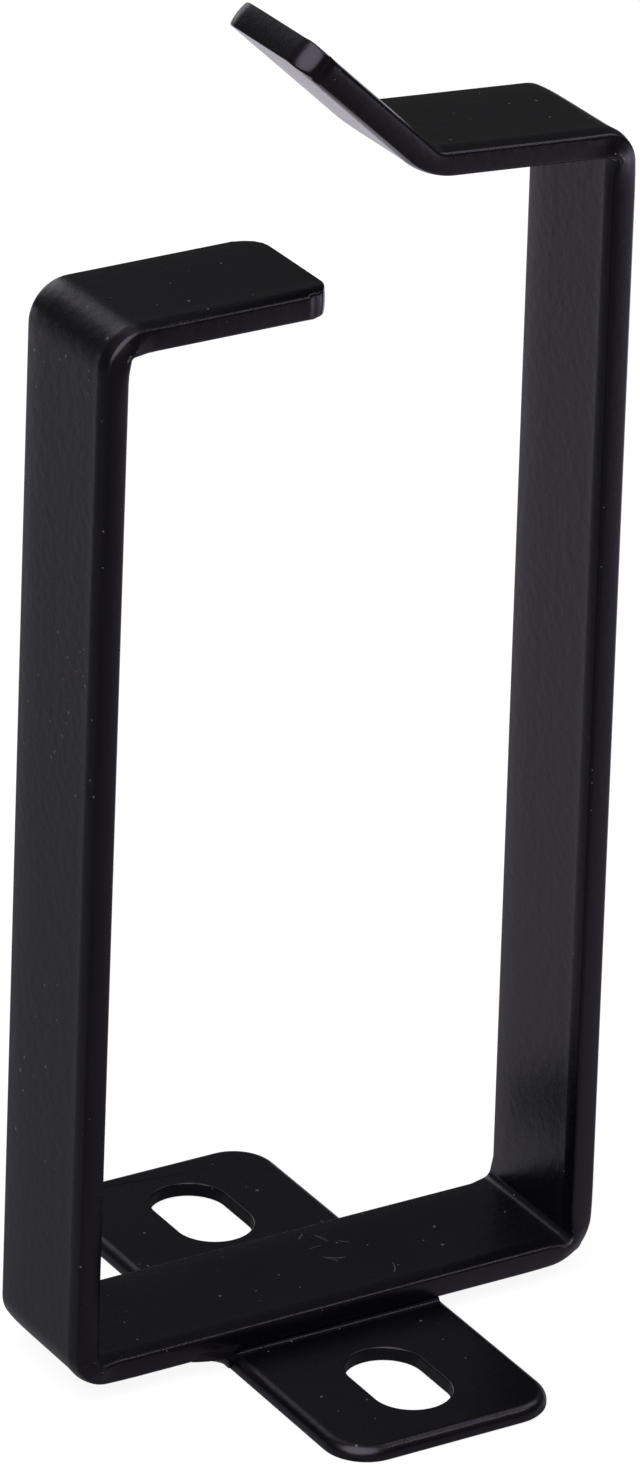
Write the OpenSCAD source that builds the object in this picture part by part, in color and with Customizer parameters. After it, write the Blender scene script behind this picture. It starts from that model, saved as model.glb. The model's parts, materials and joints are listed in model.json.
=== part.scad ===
// Open cable ring for a rack: one flat strip bent into a tall ring with an
// open mouth, welded on its lower bar to a slotted base plate.
// Millimetres, +Z up, origin at the centre of the plate's underside.
// X runs along the lower bar, Y along the plate, so the ring lies in XZ.

/* [Strip] */
// Width of the strip, measured along Y
strip_w = 12.7; // [8:0.1:20]
// Thickness of the strip with its coat
strip_t = 2.4; // [1.5:0.1:3]
// Radius of the two rounded corners at each end of the strip
strip_end_r = 2.4; // [0.5:0.1:3.5]
// Inside radius of the four square bends
bend_inside_r = 0.9; // [0.4:0.1:2.5]

/* [Ring] */
// Outer width of the ring at the lower bar
ring_w = 49; // [36:0.2:90]
// Height of the left arm, lower face of the bar to its top face
left_h = 91.7; // [50:0.1:140]
// Length of the left arm's folded top, outer corner to end
left_top_l = 20.2; // [12:0.1:22]
// Lean of the left arm into the ring, in degrees
left_lean = 0.9; // [0:0.1:2]
// Outer radius of the bend at the top of the left arm
left_top_r = 3.6; // [3:0.1:6]
// Outer radius of the bend at the foot of the left arm
left_foot_r = 3.2; // [3:0.1:6]
// Outer radius of the bend at the foot of the right arm
right_foot_r = 4.2; // [3:0.1:6]

/* [Right top and lip] */
// How much higher the right arm's outer corner stands than the left one's
mouth_step = 8.3; // [6:0.1:20]
// Length of the right arm's folded top, outer corner to lip bend
right_top_l = 18.2; // [12:0.1:24]
// Rise of that top towards the lip, in degrees
right_top_rise = 4.4; // [0:0.1:8]
// Outer radius of the bend at the top of the right arm
right_top_r = 3.1; // [3:0.1:6]
// Length of the lip, from its bend to its end
lip_l = 15.4; // [8:0.1:24]
// Angle of the lip above level, in degrees
lip_angle = 43.5; // [30:0.1:55]
// Radius on the lower, outer side of the lip bend
lip_under_r = 6.5; // [3:0.5:9]
// Radius on the upper, inner side of the lip bend
lip_upper_r = 1.6; // [0.5:0.1:4]

/* [Base plate] */
// Length of the plate along Y
plate_l = 50; // [44:0.5:80]
// Width of the plate along X
plate_w = 20.2; // [14:0.1:28]
// Thickness of the plate
plate_t = 1.3; // [1:0.1:3]
// Corner radius of the plate
plate_r = 3.8; // [1:0.1:6]

/* [Slots] */
// Distance between the middles of the two slots
slot_pitch = 31.75; // [26:0.05:32]
// Width of a slot
slot_w = 6.6; // [4.5:0.1:9]
// Length of a slot, end to end along Y
slot_l = 10.6; // [9.2:0.1:12]

/* [Welds] */
// Reach of each weld bead along the bar, away from the plate's side
weld_reach = 3.2; // [2:0.1:4]
// Length of the left weld bead along Y
weld_left_l = 12; // [6:0.5:12]
// Length of the right weld bead along Y
weld_right_l = 8; // [4:0.5:12]

/* [Hidden] */
right_h = left_h + mouth_step;
smooth = 96;      // segments of a full circle
spare = 1;        // how far a cutter runs past the face it cuts

// Headings of the strip's six straight runs, in degrees, followed from the
// end of the left arm's top down, along the bar, up and out to the lip.
headings = [180, 270 - left_lean, 360, 450, 540 - right_top_rise, 540 - lip_angle];

// Outer face of the strip: end, five bends and end, as X and Z over the bar's lower face
left_top = [-ring_w / 2 + left_h * tan(left_lean), left_h];
right_top = [ring_w / 2, right_h];
lip_bend = right_top + right_top_l * unit(headings[4]);
outer_line = [
    left_top + [left_top_l, 0],
    left_top,
    [-ring_w / 2, 0],
    [ring_w / 2, 0],
    right_top,
    lip_bend,
    lip_bend + lip_l * unit(headings[5])
];

// Inner face of the strip, one thickness to the left of the line above
inner_line = [for (i = [0:6]) outer_line[i] + strip_t * mitre(i)];

function unit(a) = [cos(a), sin(a)];

// Step from the outer to the inner face at point i, for a strip one unit thick
function mitre(i) =
    let (before = unit(headings[max(i - 1, 0)] + 90), after = unit(headings[min(i, 5)] + 90))
    (before + after) / (1 + before * after);

function reversed(points) = [for (i = [len(points) - 1:-1:0]) points[i]];

// Centre of the arc of radius r that rounds corner i of a line
function arc_centre(points, i, r) =
    let (heading_in = headings[i - 1], turn = headings[i] - heading_in)
    points[i] - r * tan(abs(turn) / 2) * unit(heading_in) + r * sign(turn) * unit(heading_in + 90);

// Four-cornered patch from that centre out over the corner, past the line by lap
module corner_patch(points, i, r, lap) {
    turn = headings[i] - headings[i - 1];
    outward = -sign(turn) * (r + lap);
    patch = [
        [0, 0],
        outward * unit(headings[i - 1] + 90),
        outward / cos(turn / 2) * unit(headings[i - 1] + 90 + turn / 2),
        outward * unit(headings[i] + 90)
    ];
    translate(arc_centre(points, i, r)) polygon(turn > 0 ? patch : reversed(patch));
}

module corner_disc(points, i, r) {
    translate(arc_centre(points, i, r)) circle(r = r, $fn = smooth);
}

// Side view of the bent strip: its mitred outline, with each bend's hollow
// side filled and its outer side cut back to an arc
module strip_profile() {
    outer_r = [0, left_top_r, left_foot_r, right_foot_r, right_top_r];
    difference() {
        union() {
            polygon(concat(outer_line, reversed(inner_line)));
            for (i = [1:4]) corner_patch(inner_line, i, bend_inside_r, strip_t / 4);
            corner_patch(outer_line, 5, lip_upper_r, strip_t / 4);
        }
        for (i = [1:4]) {
            corner_disc(inner_line, i, bend_inside_r);
            difference() {
                corner_patch(outer_line, i, outer_r[i], spare);
                corner_disc(outer_line, i, outer_r[i]);
            }
        }
        corner_disc(outer_line, 5, lip_upper_r);
        difference() {
            corner_patch(inner_line, 5, lip_under_r, spare);
            corner_disc(inner_line, 5, lip_under_r);
        }
    }
}

// Cutter that rounds both corners of a strip end which points along +X
module end_rounder() {
    for (side = [-1, 1])
        translate([-strip_end_r, side * (strip_w / 2 - strip_end_r), -strip_t - spare])
            linear_extrude(2 * (strip_t + spare)) difference() {
                translate([0, min(0, side * (strip_end_r + spare))]) square(strip_end_r + spare);
                circle(r = strip_end_r, $fn = smooth);
            }
}

// Places a strip end's cutter at a point of the side view, turned by an angle
module at_end(point, angle) {
    translate([point[0], 0, point[1]]) rotate([0, -angle, 0]) children();
}

module hook_strip() {
    color([0.11, 0.1, 0.12])
    translate([0, 0, plate_t])
    difference() {
        rotate([90, 0, 0]) translate([0, 0, -strip_w / 2]) linear_extrude(strip_w) strip_profile();
        at_end(outer_line[0], headings[0] + 180) end_rounder();
        at_end(outer_line[6], headings[5]) end_rounder();
    }
}

// Flat plate outline with rounded corners, centred
module rounded_rect(w, l, r) {
    square([w - 2 * r, l], center = true);
    square([w, l - 2 * r], center = true);
    for (x = [-1, 1], y = [-1, 1])
        translate([x * (w / 2 - r), y * (l / 2 - r)]) circle(r = r, $fn = smooth);
}

module slot_cutter() {
    translate([0, 0, -spare]) {
        translate([-slot_w / 2, -(slot_l - slot_w) / 2, 0])
            cube([slot_w, slot_l - slot_w, plate_t + 2 * spare]);
        for (end = [-1, 1])
            translate([0, end * (slot_l - slot_w) / 2, 0])
                cylinder(h = plate_t + 2 * spare, d = slot_w, $fn = smooth);
    }
}

module base_plate() {
    color([0.1, 0.09, 0.11])
    difference() {
        linear_extrude(plate_t) rounded_rect(plate_w, plate_l, plate_r);
        for (end = [-1, 1]) translate([0, end * slot_pitch / 2, 0]) slot_cutter();
    }
}

// Hollow-faced bead in the corner under the bar, beside the plate on the +X side
module weld_bead(bead_l) {
    hollow_r = (pow(weld_reach, 2) + pow(plate_t, 2)) / (2 * plate_t);
    color([0.09, 0.08, 0.1])
    translate([plate_w / 2, bead_l / 2, 0]) rotate([90, 0, 0]) linear_extrude(bead_l)
        difference() {
            square([weld_reach, plate_t]);
            translate([weld_reach, plate_t - hollow_r]) circle(r = hollow_r, $fn = 4 * smooth);
        }
}

module weld_left() {
    mirror([1, 0, 0]) weld_bead(weld_left_l);
}

module weld_right() {
    weld_bead(weld_right_l);
}

hook_strip();
base_plate();
weld_left();
weld_right();
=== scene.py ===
import json
import math
import random

import bmesh
import bpy
from mathutils import Matrix, Vector


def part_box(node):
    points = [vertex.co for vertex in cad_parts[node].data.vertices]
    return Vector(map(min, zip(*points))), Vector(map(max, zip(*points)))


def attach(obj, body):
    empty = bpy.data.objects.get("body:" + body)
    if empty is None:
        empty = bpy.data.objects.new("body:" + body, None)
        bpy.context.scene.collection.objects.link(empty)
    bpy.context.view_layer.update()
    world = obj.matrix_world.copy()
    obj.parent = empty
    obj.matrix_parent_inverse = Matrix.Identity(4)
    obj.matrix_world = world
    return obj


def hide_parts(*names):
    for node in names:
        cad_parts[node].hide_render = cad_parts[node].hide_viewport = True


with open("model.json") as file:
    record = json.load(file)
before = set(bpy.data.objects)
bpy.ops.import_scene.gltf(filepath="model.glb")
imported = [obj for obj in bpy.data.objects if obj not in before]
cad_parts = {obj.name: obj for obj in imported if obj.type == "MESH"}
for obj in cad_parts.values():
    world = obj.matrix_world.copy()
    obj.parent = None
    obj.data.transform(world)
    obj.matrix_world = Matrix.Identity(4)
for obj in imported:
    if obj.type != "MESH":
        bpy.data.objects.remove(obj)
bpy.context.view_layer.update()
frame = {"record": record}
mm = 0.001
hair = 0.01 * mm                  # a point this near a line or a face lies on it
mergeReach = 0.0005 * mm          # points this close are merged
stripLow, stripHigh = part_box("hook_strip")
plateLow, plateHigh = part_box("base_plate")
weldRightLow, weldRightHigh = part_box("weld_right")
slotSizes = next(m["dims"] for m in frame["record"]["mounts"] if m["name"] == "screw_slots")


# Helpers for working with Blender's own operators


def deselectAll():
    if bpy.context.object and bpy.context.object.mode != "OBJECT":
        bpy.ops.object.mode_set(mode="OBJECT")
    bpy.ops.object.select_all(action="DESELECT")


def makeActive(piece):
    deselectAll()
    piece.select_set(True)
    bpy.context.view_layer.objects.active = piece


def namePiece(name):
    piece = bpy.context.object
    piece.name = piece.data.name = name
    makeActive(piece)
    bpy.ops.object.transform_apply(location=True, rotation=True, scale=True)
    return piece


def openForEdit(piece):
    makeActive(piece)
    bpy.ops.object.mode_set(mode="EDIT")


# Selects the points, edges or faces that pass the test, and tells how many they are
def choose(piece, kind, test):
    bpy.ops.mesh.select_mode(type=kind)
    bpy.ops.mesh.select_all(action="DESELECT")
    mesh = bmesh.from_edit_mesh(piece.data)
    mesh.normal_update()
    parts = {"VERT": mesh.verts, "EDGE": mesh.edges, "FACE": mesh.faces}[kind]
    chosen = [part for part in parts if test(part)]
    for part in chosen:
        part.select_set(True)
    bmesh.update_edit_mesh(piece.data)
    return len(chosen)


# Adds a row of points where a plane crosses the piece
def addRow(place, facing, **settings):
    bpy.ops.mesh.select_all(action="SELECT")
    bpy.ops.mesh.bisect(plane_co=place, plane_no=facing, **settings)


def roundOff(size, segments, affect="EDGES"):
    bpy.ops.mesh.bevel(offset=size, segments=segments, profile=0.5, affect=affect, clamp_overlap=False)


# Bevels an edge by a share of its faces; a profile under 0.25 leaves the new face hollow
def hollowOut(percent, segments, profile):
    bpy.ops.mesh.bevel(offset_type="PERCENT", offset_pct=percent, segments=segments, profile=profile,
                       affect="EDGES", clamp_overlap=False)


def applyModifier(piece, name, kind, **settings):
    makeActive(piece)
    modifier = piece.modifiers.new(name, kind)
    for key, value in settings.items():
        setattr(modifier, key, value)
    bpy.ops.object.modifier_apply(modifier=name)


def middleOf(edge):
    return (edge.verts[0].co + edge.verts[1].co) / 2


def isSharp(edge, degrees=50):
    return len(edge.link_faces) == 2 and edge.calc_face_angle(0) > math.radians(degrees)


def faceOutwards(piece):
    openForEdit(piece)
    bpy.ops.mesh.select_all(action="SELECT")
    bpy.ops.mesh.remove_doubles(threshold=mergeReach)
    bpy.ops.mesh.normals_make_consistent(inside=False)
    bpy.ops.object.mode_set(mode="OBJECT")


def smooth(piece, degrees=40):
    makeActive(piece)
    bpy.ops.object.shade_smooth_by_angle(angle=math.radians(degrees))
    applyModifier(piece, "flatFaces", "WEIGHTED_NORMAL", keep_sharp=True, weight=70)


# The bent strip: a ribbon drawn along the ring's outer face, then given its thickness

stripShape = {
    "thickness": 2.4 * mm,
    "leftHeight": 91.7 * mm,      # bar's lower face to the top of the left arm
    "leftTop": 20.2 * mm,
    "leftLean": 0.9,              # degrees into the ring
    "mouthStep": 8.3 * mm,        # how much higher the right arm stands
    "rightTop": 18.2 * mm,
    "rightRise": 4.4,
    "lip": 15.4 * mm,
    "lipAngle": 43.5,
    "outerR": {
        "leftTop": 3.6 * mm,
        "leftFoot": 3.2 * mm,
        "rightFoot": 4.2 * mm,
        "rightTop": 3.1 * mm,
        "lip": 4.1 * mm,
    },
    "innerR": {
        "leftTop": 0.12 * mm,
        "leftFoot": 0.12 * mm,
        "rightFoot": 0.6 * mm,
        "rightTop": 0.15 * mm,
        "lip": 1.6 * mm,
    },
    "barHalf": 8 * mm,            # half of the bar's middle part, from which both arms are drawn
    "bendRows": [0.9 * mm, 1.5 * mm],      # short rows of faces next to each bend
    "bendSteps": 14,
    "arcSpare": (0.03 * mm, 0.5),          # a bend's point may lie this far off its arc, or degrees past it
    "bulge": 1.058,               # the inside of a bend swells past the strip's width
    "bulgeCore": 0.5 * mm,        # for points this near the middle of its hollow
    "drawIn": 0.985,              # and its outside draws in
    "bulgeReach": 1.6 * mm,       # how far along the wall either is felt
    "endR": 2.4 * mm,             # rounding of the strip's four corners
    "endSegments": 10,
    "closest": 0.13 * mm,         # points of the drawn sheet nearer than this are merged
    "roll": 0.26 * mm,            # how far the faces roll down to the long edges
    "rollSteps": 20,
    # rows along a face: distance from its edge, share of the roll; the front edge keeps a faint ridge
    "frontRows": [(0, 1.0), (0.25 * mm, 0.72), (0.5 * mm, 0.47), (0.8 * mm, 0.2), (1.1 * mm, 0.03),
                  (1.35 * mm, 0.0), (2.4 * mm, 0.24)],
    "rearRows": [(0, 0.85), (0.4 * mm, 0.69), (0.9 * mm, 0.53), (1.5 * mm, 0.4), (2.6 * mm, 0.3),
                 (4.0 * mm, 0.24)],
    "sideIn": 0.05 * mm,          # the sheets stop this short of the strip's full width
    "wallCuts": 3,
    "wallDepth": 0.1 * mm,        # points at most this far inside the sheets' edges are the wall's
    "wallCrown": (0.075 * mm, 0.03 * mm),   # fullness of the side walls, and what their middle adds
    "edgeR": 0.21 * mm,           # rounding of the long edges
    "edgeSegments": 5,
    "edgeTurn": 48,               # degrees from which an edge is rounded
    "endShare": 0.42,             # share of the rounding that the cut ends have
    "endSteps": 5,
}


def unit(degrees):
    return Vector((math.cos(math.radians(degrees)), 0, math.sin(math.radians(degrees))))


def tangentLength(name, turn):
    return stripShape["outerR"][name] * math.tan(math.radians(abs(turn)) / 2)


# One arm, drawn from the bar's middle part outwards: each leg is its name, its
# corner to corner length and the turn after it. Turns into the ring have ringSide's sign.
def drawArm(ribbon, start, heading, legs, ringSide):
    near = stripShape["bendRows"]
    bends = []
    point = start
    before = 0
    choose(ribbon, "EDGE", lambda e: all(abs(v.co.x - start.x) < hair for v in e.verts))
    for name, length, turn in legs:
        after = tangentLength(name, turn) if turn else 0
        run = length - before - after
        between = run - sum(near) * (bool(before) + bool(after))
        for step in (near if before else []) + [between] + (near[::-1] if after else []):
            bpy.ops.mesh.extrude_edges_move(TRANSFORM_OT_translate={"value": unit(heading) * step})
        point = point + unit(heading) * run
        if turn:
            side = math.copysign(1, turn)
            radius = stripShape["outerR"][name]
            centre = point + unit(heading + 90) * radius * side
            bpy.ops.mesh.spin(steps=stripShape["bendSteps"], angle=math.radians(turn), center=centre,
                              axis=(0, 1, 0))
            bends.append({"name": name, "centre": centre, "outer": radius, "turn": abs(turn),
                          "folded": turn * ringSide > 0, "middle": unit(heading + turn / 2 - 90 * side)})
            point = centre - unit(heading + turn + 90) * radius * side
            heading += turn
        before = after
    return bends


# The ring's outer face as one open sheet
def drawSheet():
    s = stripShape
    foot = plateHigh.z
    corner = stripHigh.x
    low, high = stripLow.y + s["sideIn"], stripHigh.y - s["sideIn"]
    half = s["barHalf"]
    bpy.ops.mesh.primitive_plane_add(size=1, location=(0, (low + high) / 2, foot))
    bpy.context.object.scale = (2 * half, high - low, 1)
    strip = namePiece("bentStrip")
    openForEdit(strip)
    leftLegs = [("leftFoot", corner - half, -90 - s["leftLean"]),
                ("leftTop", s["leftHeight"] / math.cos(math.radians(s["leftLean"])), -90 + s["leftLean"]),
                ("end", s["leftTop"], 0)]
    rightLegs = [("rightFoot", corner - half, 90),
                 ("rightTop", s["leftHeight"] + s["mouthStep"], 90 - s["rightRise"]),
                 ("lip", s["rightTop"], s["rightRise"] - s["lipAngle"]),
                 ("end", s["lip"], 0)]
    bends = drawArm(strip, Vector((-half, 0, foot)), 180, leftLegs, -1)
    bends += drawArm(strip, Vector((half, 0, foot)), 0, rightLegs, 1)

    # the four corners of its two ends
    choose(strip, "VERT", lambda v: len(v.link_edges) == 2)
    roundOff(s["endR"], s["endSegments"], "VERTICES")

    # faces turned out of the ring, which is downwards at the bar
    bpy.ops.mesh.select_all(action="SELECT")
    bpy.ops.mesh.normals_make_consistent(inside=False)
    mesh = bmesh.from_edit_mesh(strip.data)
    barFace = min(mesh.faces, key=lambda f: (f.calc_center_median() - Vector((0, 0, foot))).length)
    if barFace.normal.z > 0:
        bpy.ops.mesh.flip_normals()

    # rows for the roll of the long edges
    fromFront = [low + row for row, share in s["frontRows"][1:]]
    fromRear = [high - row for row, share in s["rearRows"][1:]]
    for y in fromFront + fromRear:
        addRow((0, y, 0), (0, 1, 0), threshold=hair)
    bpy.ops.mesh.select_all(action="SELECT")
    bpy.ops.mesh.remove_doubles(threshold=s["closest"])
    bpy.ops.object.mode_set(mode="OBJECT")
    return strip, bends


def onArc(vert, bend, radius):
    aside, pastEnd = stripShape["arcSpare"]
    fromCentre = vert.co - bend["centre"]
    fromCentre.y = 0
    if abs(fromCentre.length - radius) > aside:
        return False
    return fromCentre.angle(bend["middle"]) < math.radians(bend["turn"] / 2 + pastEnd)


# Tightens the hollow side of a bend about its square corner
def tightenBend(strip, bend):
    s = stripShape
    hollow = bend["outer"] - s["thickness"] if bend["folded"] else bend["outer"]
    secant = 1 / math.cos(math.radians(bend["turn"] / 2))
    inner = s["innerR"][bend["name"]]
    square = bend["centre"] + bend["middle"] * hollow * secant
    bend["hollow"] = square - bend["middle"] * inner * (secant - 1)
    choose(strip, "VERT", lambda v: onArc(v, bend, hollow))
    bpy.ops.transform.resize(value=(inner / hollow, 1, inner / hollow), center_override=square)


# Step of the roll at a point of a sheet
def rollStep(vert):
    s = stripShape
    rows = s["frontRows" if vert.co.y < 0 else "rearRows"]
    edge = stripHigh.y - s["sideIn"] - abs(vert.co.y)
    for (near, more), (far, less) in zip(rows, rows[1:]):
        if edge <= far:
            return round(s["rollSteps"] * (more + (less - more) * (edge - near) / (far - near)))
    return round(s["rollSteps"] * rows[-1][1])


# Rolls both sheets towards each other along their edges, then closes the walls between them
def closeWalls(strip):
    s = stripShape
    steps = [rollStep(v) for v in bmesh.from_edit_mesh(strip.data).verts]
    for step in range(s["rollSteps"], 0, -1):
        if choose(strip, "VERT", lambda v: steps[v.index] == step):
            bpy.ops.transform.shrink_fatten(value=-s["roll"] * step / s["rollSteps"])
    choose(strip, "EDGE", lambda e: len(e.link_faces) == 1)
    bpy.ops.mesh.bridge_edge_loops(number_cuts=s["wallCuts"], interpolation="LINEAR")
    bpy.ops.object.mode_set(mode="OBJECT")
    faceOutwards(strip)
    return len(steps)


# Widens or narrows the strip at the chosen points, and less so around them
def widen(share):
    bpy.ops.transform.resize(value=(1, share, 1), center_override=(0, 0, 0), use_proportional_edit=True,
                             proportional_edit_falloff="SMOOTH", proportional_size=stripShape["bulgeReach"])


# The walls are a little full, swell inside each bend and draw in outside it
def shapeWalls(strip, bends, sheetPoints):
    s = stripShape
    wall = stripHigh.y - s["sideIn"] - s["wallDepth"]
    openForEdit(strip)
    choose(strip, "VERT", lambda v: v.index >= sheetPoints)
    bpy.ops.transform.shrink_fatten(value=s["wallCrown"][0])
    choose(strip, "VERT", lambda v: all(e.other_vert(v).index >= sheetPoints for e in v.link_edges))
    bpy.ops.transform.shrink_fatten(value=s["wallCrown"][1])
    for bend in bends:
        if bend["name"] == "lip":
            continue
        core = bend["hollow"]
        choose(strip, "VERT", lambda v: abs(v.co.y) > wall
               and math.hypot(v.co.x - core.x, v.co.z - core.z) < s["bulgeCore"])
        widen(s["bulge"])
        choose(strip, "VERT", lambda v: abs(v.co.y) > wall and onArc(v, bend, bend["outer"] - s["roll"]))
        widen(s["drawIn"])


# Step of an edge between the strip's cut ends, 0, and its long sides
def sideStep(edge):
    s = stripShape
    inward = stripHigh.y - s["sideIn"] - min(abs(v.co.y) for v in edge.verts)
    return max(0, min(s["endSteps"], round(s["endSteps"] * (1 - inward / s["endR"]))))


# Long edges get the full rounding, the cut ends stay crisper
def roundLongEdges(strip):
    s = stripShape
    for step in range(s["endSteps"] + 1):
        if choose(strip, "EDGE", lambda e: isSharp(e, s["edgeTurn"]) and sideStep(e) == step):
            weight = s["endShare"] + (1 - s["endShare"]) * step / s["endSteps"]
            bpy.ops.transform.edge_bevelweight(value=weight)
    bpy.ops.object.mode_set(mode="OBJECT")
    applyModifier(strip, "softEdges", "BEVEL", width=s["edgeR"], segments=s["edgeSegments"],
                  limit_method="WEIGHT", use_clamp_overlap=False, loop_slide=False)


def makeStrip():
    strip, bends = drawSheet()
    # a second sheet one thickness inside the first
    applyModifier(strip, "thickness", "SOLIDIFY", thickness=stripShape["thickness"], offset=-1,
                  use_even_offset=True, use_rim=False)
    print("strip drawn:", len(strip.data.vertices), "points on its two faces")
    openForEdit(strip)
    for bend in bends:
        tightenBend(strip, bend)
    sheetPoints = closeWalls(strip)
    shapeWalls(strip, bends, sheetPoints)
    roundLongEdges(strip)
    faceOutwards(strip)
    smooth(strip)
    print("strip finished:", len(strip.data.polygons), "faces")
    return strip


# The base plate: rolled top edge, two slots

plateShape = {
    # each rounding is its size and its segments
    "corners": (3.8 * mm, 12),
    "rolledEdge": (0.9 * mm, 8),  # left by the press along the top
    "slotRims": (0.16 * mm, 5),
    "lowerEdge": (0.2 * mm, 3),
    "slotPitch": slotSizes["spacing_y_mm"] * mm,
    "slotWidth": 2 * slotSizes["hole_r_mm"] * mm,
    "slotLength": slotSizes["slot_length_mm"] * mm,
    "slotSides": 56,
    "slotSpare": 0.05 * mm,       # how far outside a slot an edge still counts as its own
    "toolDepth": 6 * mm,
}


def inSlot(place):
    s = plateShape
    across = abs(place.x)
    along = abs(abs(place.y) - s["slotPitch"] / 2)
    return across < s["slotWidth"] / 2 + s["slotSpare"] and along < s["slotLength"] / 2 + s["slotSpare"]


def makeSlotTool(y):
    s = plateShape
    halfStep = math.pi / s["slotSides"]
    bpy.ops.mesh.primitive_cylinder_add(vertices=s["slotSides"], depth=s["toolDepth"],
                                        radius=s["slotWidth"] / 2 / math.cos(halfStep),
                                        location=(0, y, plateHigh.z), rotation=(0, 0, halfStep))
    tool = namePiece("slotTool")
    openForEdit(tool)
    for side in (-1, 1):
        choose(tool, "VERT", lambda v: (v.co.y - y) * side > 0)
        bpy.ops.transform.translate(value=(0, side * (s["slotLength"] - s["slotWidth"]) / 2, 0))
    bpy.ops.object.mode_set(mode="OBJECT")
    return tool


def makePlate():
    s = plateShape
    size = plateHigh - plateLow
    topMiddle = (plateLow + plateHigh) / 2 + Vector((0, 0, size.z / 2))
    bpy.ops.mesh.primitive_plane_add(size=1, location=topMiddle)
    bpy.context.object.scale = (size.x, size.y, 1)
    plate = namePiece("basePlate")
    openForEdit(plate)
    bpy.ops.mesh.select_mode(type="VERT")
    bpy.ops.mesh.select_all(action="SELECT")
    roundOff(*s["corners"], "VERTICES")
    bpy.ops.object.mode_set(mode="OBJECT")
    applyModifier(plate, "thickness", "SOLIDIFY", thickness=size.z, offset=-1)
    for y in (-s["slotPitch"] / 2, s["slotPitch"] / 2):
        tool = makeSlotTool(y)
        applyModifier(plate, "slot", "BOOLEAN", operation="DIFFERENCE", solver="EXACT", object=tool)
        bpy.data.objects.remove(tool)
    faceOutwards(plate)

    openForEdit(plate)
    top, bottom = plateHigh.z - hair, plateLow.z + hair
    choose(plate, "EDGE", lambda e: isSharp(e) and middleOf(e).z > top and not inSlot(middleOf(e)))
    roundOff(*s["rolledEdge"])
    choose(plate, "EDGE", lambda e: isSharp(e) and middleOf(e).z > top and inSlot(middleOf(e)))
    roundOff(*s["slotRims"])
    choose(plate, "EDGE", lambda e: isSharp(e) and middleOf(e).z < bottom)
    roundOff(*s["lowerEdge"])
    bpy.ops.object.mode_set(mode="OBJECT")
    smooth(plate)
    print("plate finished:", len(plate.data.polygons), "faces")
    return plate


# The welds: hollow beads in the corner between the plate's sides and the bar's lower face

weldShape = {
    "reach": 3.5 * mm,
    "overlap": 0.25 * mm,         # the hollow runs out this far inside the bar
    "inPlate": 1.2 * mm,          # how far the bead runs back into the plate and up into the bar
    "inBar": 1.1 * mm,
    "lift": 0.04 * mm,            # how far it stays above the plate's lower face
    "hollow": (99, 8, 0.13),      # percent of the faces, segments, profile
    "rows": 9,
    "ripple": 0.012,              # share by which every other row is drawn in
    "heart": 0.5 * mm,            # rows and noses shrink towards a line this far outside the plate
    "smoothTurn": 75,             # edges that turn by fewer degrees are shaded smooth
    # each step of a nose: how far forward, share of the bead's size
    "nose": [(0.1 * mm, 0.93), (0.12 * mm, 0.8), (0.15 * mm, 0.58), (0.15 * mm, 0.3)],
    # front and rear, how far the straight part stops short of the bar's sides or the CAD bead's ends
    "leftShort": (0.15 * mm, 0.4 * mm),
    "rightShort": (0.2 * mm, 0.2 * mm),
}


def makeWeld(name, side, front, rear):
    s = weldShape
    inner, outer = plateHigh.x - s["inPlate"], plateHigh.x + s["reach"]
    low, high = plateLow.z + s["lift"], plateHigh.z + s["inBar"]
    middle = ((inner + outer) / 2 * side, (front + rear) / 2, (low + high) / 2)
    bpy.ops.mesh.primitive_cube_add(size=1, location=middle)
    bpy.context.object.scale = (outer - inner, rear - front, high - low)
    weld = namePiece(name)
    openForEdit(weld)
    addRow((0, 0, plateHigh.z + s["overlap"]), (0, 0, 1))
    addRow((plateHigh.x * side, 0, 0), (1, 0, 0))
    choose(weld, "EDGE",
           lambda e: all(v.co.z < low + hair and v.co.x * side > outer - hair for v in e.verts))
    hollowOut(*s["hollow"])

    # rows along the bead, every other one drawn in
    longEnough = (rear - front) / 2
    choose(weld, "EDGE", lambda e: abs(e.verts[0].co.y - e.verts[1].co.y) > longEnough)
    bpy.ops.mesh.subdivide(number_cuts=s["rows"], smoothness=0)
    heart = ((plateHigh.x + s["heart"]) * side, 0, plateHigh.z)
    for row in range(1, s["rows"] + 1, 2):
        y = front + (rear - front) * row / (s["rows"] + 1)
        choose(weld, "VERT", lambda v: abs(v.co.y - y) < hair)
        bpy.ops.transform.resize(value=(1 - s["ripple"], 1, 1 - s["ripple"]), center_override=heart)

    # a domed nose on each end
    for y, way in ((front, -1), (rear, 1)):
        size = 1
        for forward, share in s["nose"]:
            choose(weld, "FACE",
                   lambda f: f.normal.y * way > 0.9 and (f.calc_center_median().y - y) * way > -hair)
            bpy.ops.mesh.extrude_region_move(TRANSFORM_OT_translate={"value": (0, way * forward, 0)})
            bpy.ops.transform.resize(value=(share / size, 1, share / size), center_override=heart)
            size = share
    bpy.ops.object.mode_set(mode="OBJECT")
    faceOutwards(weld)
    smooth(weld, s["smoothTurn"])
    print(name, "finished:", len(weld.data.polygons), "faces")
    return weld


# The coat gathers in the corner between the bar's side walls and the plate

rootShape = {
    "size": 0.2 * mm,
    "rise": 0.06 * mm,            # how much further it climbs the wall than it reaches over the plate
    "sunk": 0.25 * mm,
    "hollow": (98, 6, 0.12),      # percent of the faces, segments, profile
    "inset": 0.5 * mm,            # how far it stops short of the plate's sides
    "smoothTurn": 60,
}


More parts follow.
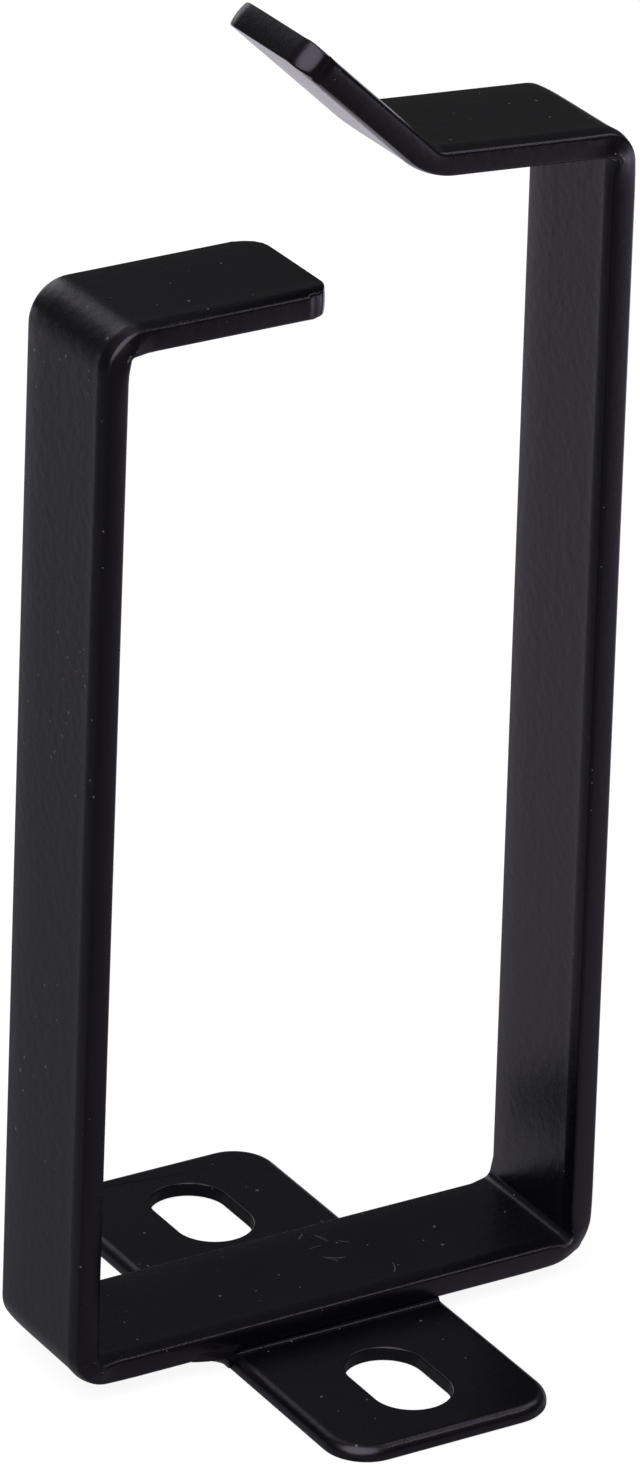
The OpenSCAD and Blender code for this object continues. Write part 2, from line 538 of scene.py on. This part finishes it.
def makeRoot(name, side):
    s = rootShape
    wall = stripHigh.y
    near, far = wall - s["sunk"], wall + s["size"]
    low, high = plateHigh.z - s["sunk"], plateHigh.z + s["size"] + s["rise"]
    bpy.ops.mesh.primitive_cube_add(size=1, location=(0, (near + far) / 2 * side, (low + high) / 2))
    bpy.context.object.scale = (2 * (plateHigh.x - s["inset"]), far - near, high - low)
    root = namePiece(name)
    openForEdit(root)
    addRow((0, 0, plateHigh.z), (0, 0, 1))
    addRow((0, wall * side, 0), (0, 1, 0))
    choose(root, "EDGE", lambda e: all(v.co.z > high - hair and v.co.y * side > far - hair for v in e.verts))
    hollowOut(*s["hollow"])
    bpy.ops.object.mode_set(mode="OBJECT")
    faceOutwards(root)
    smooth(root, s["smoothTurn"])
    return root


strip = makeStrip()
plate = makePlate()
shortFront, shortRear = weldShape["leftShort"]
weldLeft = makeWeld("weldLeft", -1, stripLow.y + shortFront, stripHigh.y - shortRear)
shortFront, shortRear = weldShape["rightShort"]
weldRight = makeWeld("weldRight", 1, weldRightLow.y + shortFront, weldRightHigh.y - shortRear)
rootFront = makeRoot("rootFront", -1)
rootRear = makeRoot("rootRear", 1)


# A mask of the rounded edges, for the materials' painted highlight specks and lumps of coat: points in close
# rows, where an edge turns by more than the given degrees
def markEdges(piece, degrees):
    mesh = bmesh.new()
    mesh.from_mesh(piece.data)
    layer = mesh.verts.layers.float.new("roundedEdge")
    for vert in mesh.verts:
        turns = [e.calc_face_angle(0) for e in vert.link_edges if e.is_convex]
        closeRows = min(e.calc_length() for e in vert.link_edges) < stripShape["closest"]
        vert[layer] = float(closeRows and max(turns, default=0) > math.radians(degrees))
    mesh.to_mesh(piece.data)
    mesh.free()


# Materials: one black powder coat, with its own values on each piece


def addNode(tree, kind, inputs=None, **settings):
    node = tree.nodes.new(kind)
    for key, value in settings.items():
        setattr(node, key, value)
    for key, value in (inputs or {}).items():
        if isinstance(value, bpy.types.NodeSocket):
            tree.links.new(value, node.inputs[key])
        else:
            node.inputs[key].default_value = value
    return node


def calc(tree, operation, *values):
    return addNode(tree, "ShaderNodeMath", dict(enumerate(values)), operation=operation).outputs[0]


def calcPlace(tree, operation, *values):
    return addNode(tree, "ShaderNodeVectorMath", dict(enumerate(values)), operation=operation).outputs


def splitPlace(tree, place):
    return addNode(tree, "ShaderNodeSeparateXYZ", {0: place}).outputs


def spread(tree, value, low, high, newLow=0.0, newHigh=1.0):
    return addNode(tree, "ShaderNodeMapRange", {"Value": value, "From Min": low, "From Max": high,
                                                "To Min": newLow, "To Max": newHigh}).outputs["Result"]


def mixIn(tree, below, mask, above):
    return addNode(tree, "ShaderNodeMix", {0: mask, 6: below, 7: above}, data_type="RGBA").outputs[2]


def newGroup(name, inputs, outputs):
    group = bpy.data.node_groups.new(name, "ShaderNodeTree")
    for label, kind, value in inputs:
        socket = group.interface.new_socket(label, in_out="INPUT", socket_type=kind)
        if value is not None:
            socket.default_value = value
    for label in outputs:
        group.interface.new_socket(label, in_out="OUTPUT", socket_type="NodeSocketFloat")
    return group, addNode(group, "NodeGroupInput").outputs, addNode(group, "NodeGroupOutput").inputs


def fill(tree, outputs, **values):
    for name, value in values.items():
        tree.links.new(value, outputs[name])


# The noises of the coat, and the middle part of their range that tone and cloud are spread from
coatNoises = {
    "beads": {"Scale": 3200, "Detail": 1, "Roughness": 0.5},
    "peel": {"Scale": 1150, "Detail": 1, "Roughness": 0.4},
    "grain": {"Scale": 5200, "Detail": 2, "Roughness": 0.6},
    "cloud": {"Scale": 70, "Detail": 4, "Roughness": 0.55, "Distortion": 0.4},
}
noiseRange = (0.3, 0.7)


# Orange peel and the coat's fine grain: a height for bump and a tone for colour and roughness
def makeCoatGrain():
    group, given, made = newGroup(
        "coatGrain",
        [("Place", "NodeSocketVector", None), ("Peel", "NodeSocketFloat", 0.5),
         ("Grain", "NodeSocketFloat", 0.5)],
        ["Height", "Tone", "Cloud", "Beads"])
    noise = {name: addNode(group, "ShaderNodeTexNoise", {"Vector": given["Place"], **values}).outputs["Fac"]
             for name, values in coatNoises.items()}
    peelPart = calc(group, "MULTIPLY", noise["peel"], given["Peel"])
    grainPart = calc(group, "MULTIPLY", noise["grain"], given["Grain"])
    fill(group, made, Height=calc(group, "ADD", peelPart, grainPart), Beads=noise["beads"],
         Tone=spread(group, noise["grain"], *noiseRange), Cloud=spread(group, noise["cloud"], *noiseRange))
    return group


# Specks of dust lying on the coat
def makeDust():
    group, given, made = newGroup(
        "coatDust",
        [("Place", "NodeSocketVector", None), ("Amount", "NodeSocketFloat", 0.03),
         ("Size", "NodeSocketFloat", 0.14)],
        ["Mask"])
    cells = addNode(group, "ShaderNodeTexVoronoi",
                    {"Vector": given["Place"], "Scale": 2000, "Randomness": 1}).outputs
    chance = addNode(group, "ShaderNodeSeparateColor", {"Color": cells["Color"]}).outputs
    kept = calc(group, "GREATER_THAN", chance[0], calc(group, "SUBTRACT", 1.0, given["Amount"]))
    speck = calc(group, "LESS_THAN", cells["Distance"], calc(group, "MULTIPLY", given["Size"], chance[1]))
    fill(group, made, Mask=calc(group, "MULTIPLY", speck, kept))
    return group


# One fine curved scratch on a level face: part of a circle, seen from above
def makeScratch():
    levelReach, fadeRate = 0.4 * mm, 3.0
    group, given, made = newGroup(
        "curvedScratch",
        [("Place", "NodeSocketVector", None), ("Centre", "NodeSocketVector", None),
         ("Radius", "NodeSocketFloat", 0.01), ("Heading", "NodeSocketFloat", 0.0),
         ("Half Span", "NodeSocketFloat", 0.2), ("Width", "NodeSocketFloat", 0.07 * mm)],
        ["Mask"])
    x, y, z = splitPlace(group, calcPlace(group, "SUBTRACT", given["Place"], given["Centre"])[0])
    squares = calc(group, "ADD", calc(group, "MULTIPLY", x, x), calc(group, "MULTIPLY", y, y))
    away = calc(group, "ABSOLUTE", calc(group, "SUBTRACT", calc(group, "SQRT", squares), given["Radius"]))
    beside = calc(group, "MINIMUM", calc(group, "DIVIDE", away, given["Width"]), 1.0)
    line = calc(group, "SUBTRACT", 1.0, beside)
    angle = calc(group, "ABSOLUTE", calc(group, "SUBTRACT", calc(group, "ARCTAN2", y, x), given["Heading"]))
    past = calc(group, "MINIMUM", calc(group, "DIVIDE", angle, given["Half Span"]), 1.0)
    fade = calc(group, "MINIMUM", calc(group, "MULTIPLY", calc(group, "SUBTRACT", 1.0, past), fadeRate), 1.0)
    level = calc(group, "LESS_THAN", calc(group, "ABSOLUTE", z), levelReach)
    fill(group, made, Mask=calc(group, "MULTIPLY", calc(group, "MULTIPLY", line, fade), level))
    return group


coatGrain = makeCoatGrain()
coatDust = makeDust()
curvedScratch = makeScratch()

coatFinish = {
    "dark": (0.0006, 0.0005, 0.0009, 1),
    "light": (0.0014, 0.0012, 0.0018, 1),
    "dust": (0.16, 0.155, 0.16, 1),
    # painted highlight: the pale colour of specks along the rounded edges, standing in for a lamp's glint on
    # them
    "rubbed": (0.11, 0.107, 0.112, 1),
    "tint": (0.88, 0.78, 1.0, 1),
    "roughness": 0.27,
    "roughnessSpread": 0.05,
    "toneRange": (0.2, 0.8),      # the tones between which the roughness changes
    "bump": 0.02 * mm,
    "peel": 1.0,
    "grain": 0.25,
    "dustAmount": 0.05,
    "dustSize": 0.3,
    "dustStrength": 0.6,
    # how much of the painted edge highlight a coat gets
    "rub": 1.0,
    "rubRange": (0.52, 0.66),     # beads under it stay black, those over it get the painted edge highlight
    "beads": 1.6,                 # lumps of coat along the rounded edges
    "edgeRange": (0.6, 0.95),     # narrows the mask of rounded edges
    "mouth": (-3 * mm, 0, 102 * mm),
    "mouthReach": (14 * mm, 22 * mm),      # nearer to the mouth than this, edges get no painted highlight and no lumps of coat
}
# a handful of short curved scratches on the bar's upper face, right of its middle
barWear = {
    "count": 7,
    "seed": 12,
    "along": (2.5 * mm, 9 * mm),
    "across": (-4 * mm, 5.5 * mm),
    "radius": (1.5 * mm, 6 * mm),
    "length": (0.9 * mm, 2.2 * mm),
    "heading": (-135, 135),       # degrees, from the circle's centre to the scratch's middle
    "strength": (0.35, 0.75),
}


def drawScratches():
    draw = random.Random(barWear["seed"])
    barTop = plateHigh.z + stripShape["thickness"]
    scratches = []
    while len(scratches) < barWear["count"]:
        along, across, radius, length, heading, strength = (
            draw.uniform(*barWear[key])
            for key in ("along", "across", "radius", "length", "heading", "strength"))
        turn = math.radians(heading)
        centre = (along - radius * math.cos(turn), across - radius * math.sin(turn), barTop)
        scratches.append((centre, radius, turn, length / radius / 2, strength))
    return scratches


def makeCoat(name, scratches=(), **changes):
    s = {**coatFinish, **changes}
    material = bpy.data.materials.new(name)
    material.use_nodes = True
    tree = material.node_tree
    shader = tree.nodes["Principled BSDF"].inputs
    place = addNode(tree, "ShaderNodeTexCoord").outputs["Object"]
    grain = addNode(tree, "ShaderNodeGroup", {"Place": place, "Peel": s["peel"], "Grain": s["grain"]},
                    node_tree=coatGrain).outputs
    dust = addNode(tree, "ShaderNodeGroup",
                   {"Place": place, "Amount": s["dustAmount"], "Size": s["dustSize"]},
                   node_tree=coatDust).outputs["Mask"]
    marked = addNode(tree, "ShaderNodeAttribute", attribute_name="roundedEdge").outputs["Fac"]
    fromMouth = calcPlace(tree, "DISTANCE", place, s["mouth"])["Value"]
    edge = calc(tree, "MULTIPLY", spread(tree, marked, *s["edgeRange"]),
                spread(tree, fromMouth, *s["mouthReach"]))

    # the two blacks, then painted highlight specks on the rounded edges, scratches and dust over them
    tone = calc(tree, "MULTIPLY", calc(tree, "ADD", grain["Tone"], grain["Cloud"]), 0.5)
    colour = mixIn(tree, s["dark"], tone, s["light"])
    # painted highlight: pale specks on the rounded edges, where a lamp's glint would fall
    rubbed = calc(tree, "MULTIPLY", edge, spread(tree, grain["Beads"], *s["rubRange"]))
    colour = mixIn(tree, colour, calc(tree, "MULTIPLY", rubbed, s["rub"]), s["rubbed"])
    for centre, radius, heading, halfSpan, strength in scratches:
        scratch = addNode(tree, "ShaderNodeGroup", {"Place": place, "Centre": centre, "Radius": radius,
                                                    "Heading": heading, "Half Span": halfSpan},
                          node_tree=curvedScratch).outputs["Mask"]
        colour = mixIn(tree, colour, calc(tree, "MULTIPLY", scratch, strength), s["dust"])
    colour = mixIn(tree, colour, calc(tree, "MULTIPLY", dust, s["dustStrength"]), s["dust"])
    tree.links.new(colour, shader["Base Color"])
    shader["Specular Tint"].default_value = s["tint"]

    low, high = s["roughness"] - s["roughnessSpread"] / 2, s["roughness"] + s["roughnessSpread"] / 2
    tree.links.new(spread(tree, tone, *s["toneRange"], low, high), shader["Roughness"])
    lumps = calc(tree, "MULTIPLY", calc(tree, "MULTIPLY", grain["Beads"], edge), s["beads"])
    height = calc(tree, "ADD", grain["Height"], lumps)
    bump = addNode(tree, "ShaderNodeBump", {"Height": height, "Distance": s["bump"], "Strength": 1.0})
    tree.links.new(bump.outputs["Normal"], shader["Normal"])
    return material


stripCoat = makeCoat("stripPowderCoat", drawScratches())
# the plate gets only a trace of the painted edge highlight, the welds none
plateCoat = makeCoat("platePowderCoat", rub=0.05, beads=0.0, roughness=0.29)
weldCoat = makeCoat("weldPowderCoat", rub=0.0, beads=0.0)
print("materials made")

# piece, slot, nodes it stands for, coat, degrees for markEdges, whose mask does nothing in the welds' coat
finishedPieces = [
    (strip, "strip_coat", ["hook_strip"], stripCoat, 15),
    (plate, "plate_coat", ["base_plate"], plateCoat, 9.5),
    (weldLeft, "weld_coat", ["weld_left"], weldCoat, 90),
    (weldRight, "weld_coat", ["weld_right"], weldCoat, 90),
    (rootFront, "weld_coat", [], weldCoat, 90),
    (rootRear, "weld_coat", [], weldCoat, 90),
]
# every piece rides on the one body
for piece, slotName, nodes, coat, edgeTurn in finishedPieces:
    markEdges(piece, edgeTurn)
    piece.data.materials.clear()
    piece.data.materials.append(coat)
    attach(piece, "root")
    if nodes:
        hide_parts(*nodes)


# Studio: pale floor, soft lamps, camera

studio = {
    "floorSize": 6.0,
    "floorDrop": 0.05 * mm,
    "floorColour": (0.15, 0.15, 0.15, 1),
    "floorRoughness": 0.9,
    "floorSpecular": 0.1,
    "floorGlow": 0.9,             # what the camera sees on top of the lit floor
    "floorShine": 1.42,           # painted light: how brightly the floor glows in reflections, rising along shineWay
    "shineColour": (1.02, 0.98, 1.12, 1),
    "shineWay": (0.85, 0.527, 0),
    "shineRange": (-0.078, 0.22),
    "shineRise": 1.6,
    "shineFar": (0.32, 0.6),      # and fading again beyond
    "paintedShadowUnderPlate": (10.1 * mm, 25 * mm, 0),     # half the size of the painted shadow under the plate, where the floor gives no glow to reflections
    "paintedShadowFade": (-0.4 * mm, 0.1 * mm),        # from its edge
    "worldLevel": 0.08,
    # azimuth from +Y towards +X, elevation, watts, size, distance
    "lamps": {
        "main": (225, 48, 38, 2.4, 1.6),
        "right": (90, 48, 0.95, 0.5, 0.9),
        "top": (0, 85, 0.5, 0.6, 0.9),
        "back": (0, 18, 0.86, 0.5, 0.9),
        "backHigh": (0, 48, 0.29, 0.6, 0.9),
        "backLeft": (315, 48, 0.05, 0.5, 0.9),
        "edge": (132, 48, 0.34, 0.16, 0.9),
    },
}
aim = Vector((0.615, 0, 51.83)) * mm


# The rays that see floor and world as pale
def seenRays(tree):
    path = addNode(tree, "ShaderNodeLightPath").outputs
    return calc(tree, "MAXIMUM", path["Is Camera Ray"], path["Is Transmission Ray"])


# The floor in reflections: a painted pool of light glowing towards the back and right, and a painted shadow
# with no glow under the plate
def paintedLightPool(tree):
    place = addNode(tree, "ShaderNodeTexCoord").outputs["Object"]
    along = calcPlace(tree, "DOT_PRODUCT", place, studio["shineWay"])["Value"]
    rise = calc(tree, "POWER", spread(tree, along, *studio["shineRange"]), studio["shineRise"])
    pool = calc(tree, "MULTIPLY", rise, spread(tree, along, *studio["shineFar"], 1.0, 0.0))
    outward = calcPlace(tree, "ABSOLUTE", place)[0]
    x, y, z = splitPlace(tree, calcPlace(tree, "SUBTRACT", outward, studio["paintedShadowUnderPlate"])[0])
    return calc(tree, "MULTIPLY", pool, spread(tree, calc(tree, "MAXIMUM", x, y), *studio["paintedShadowFade"]))


def makeFloor():
    bpy.ops.mesh.primitive_plane_add(size=studio["floorSize"], location=(0, 0, -studio["floorDrop"]))
    floor = namePiece("floor")
    material = bpy.data.materials.new("paleFloor")
    material.use_nodes = True
    tree = material.node_tree
    shader = tree.nodes["Principled BSDF"].inputs
    shader["Base Color"].default_value = studio["floorColour"]
    shader["Roughness"].default_value = studio["floorRoughness"]
    shader["Specular IOR Level"].default_value = studio["floorSpecular"]
    glossy = addNode(tree, "ShaderNodeLightPath").outputs["Is Glossy Ray"]
    glow = calc(tree, "MULTIPLY", seenRays(tree), studio["floorGlow"])
    # painted light: the floor glows for reflected rays only, in a pool with a painted shadow under the plate
    shine = calc(tree, "MULTIPLY", calc(tree, "MULTIPLY", paintedLightPool(tree), studio["floorShine"]), glossy)
    tree.links.new(calc(tree, "ADD", glow, shine), shader["Emission Strength"])
    tree.links.new(mixIn(tree, (1, 1, 1, 1), glossy, studio["shineColour"]), shader["Emission Color"])
    floor.data.materials.append(material)


def makeWorld():
    world = bpy.data.worlds.new("paleRoom")
    bpy.context.scene.world = world
    world.use_nodes = True
    tree = world.node_tree
    background = tree.nodes["Background"].inputs
    background["Color"].default_value = (1, 1, 1, 1)
    tree.links.new(spread(tree, seenRays(tree), 0, 1, studio["worldLevel"], 1.0), background["Strength"])


def makeLamp(name, azimuth, elevation, power, size, distance):
    side, up = math.radians(azimuth), math.radians(elevation)
    way = Vector((math.sin(side) * math.cos(up), math.cos(side) * math.cos(up), math.sin(up)))
    bpy.ops.object.light_add(type="AREA", location=aim + way * distance)
    lamp = bpy.context.object
    lamp.name = name + "Lamp"
    lamp.rotation_euler = way.to_track_quat("Z", "Y").to_euler()
    lamp.data.shape = "DISK"
    lamp.data.energy = power
    lamp.data.size = size


cameraView = {
    "azimuth": -31.22,
    "elevation": 25.35,
    "roll": 1.56,
    "distance": 0.7277,
    "lens": 224.9,
    "clip": (0.05, 20),
}


def makeCamera():
    c = cameraView
    side, up = math.radians(c["azimuth"]), math.radians(c["elevation"])
    back = Vector((math.sin(side) * math.cos(up), -math.cos(side) * math.cos(up), math.sin(up)))
    bpy.ops.object.camera_add(location=aim + back * c["distance"])
    camera = bpy.context.object
    roll = Matrix.Rotation(math.radians(c["roll"]), 3, "Z")
    camera.rotation_euler = (back.to_track_quat("Z", "Y").to_matrix() @ roll).to_euler()
    camera.data.lens = c["lens"]
    camera.data.clip_start, camera.data.clip_end = c["clip"]
    bpy.context.scene.camera = camera


makeFloor()
makeWorld()
for lampName, placed in studio["lamps"].items():
    makeLamp(lampName, *placed)
makeCamera()
bpy.context.scene.view_settings.view_transform = "Standard"
print("studio ready")
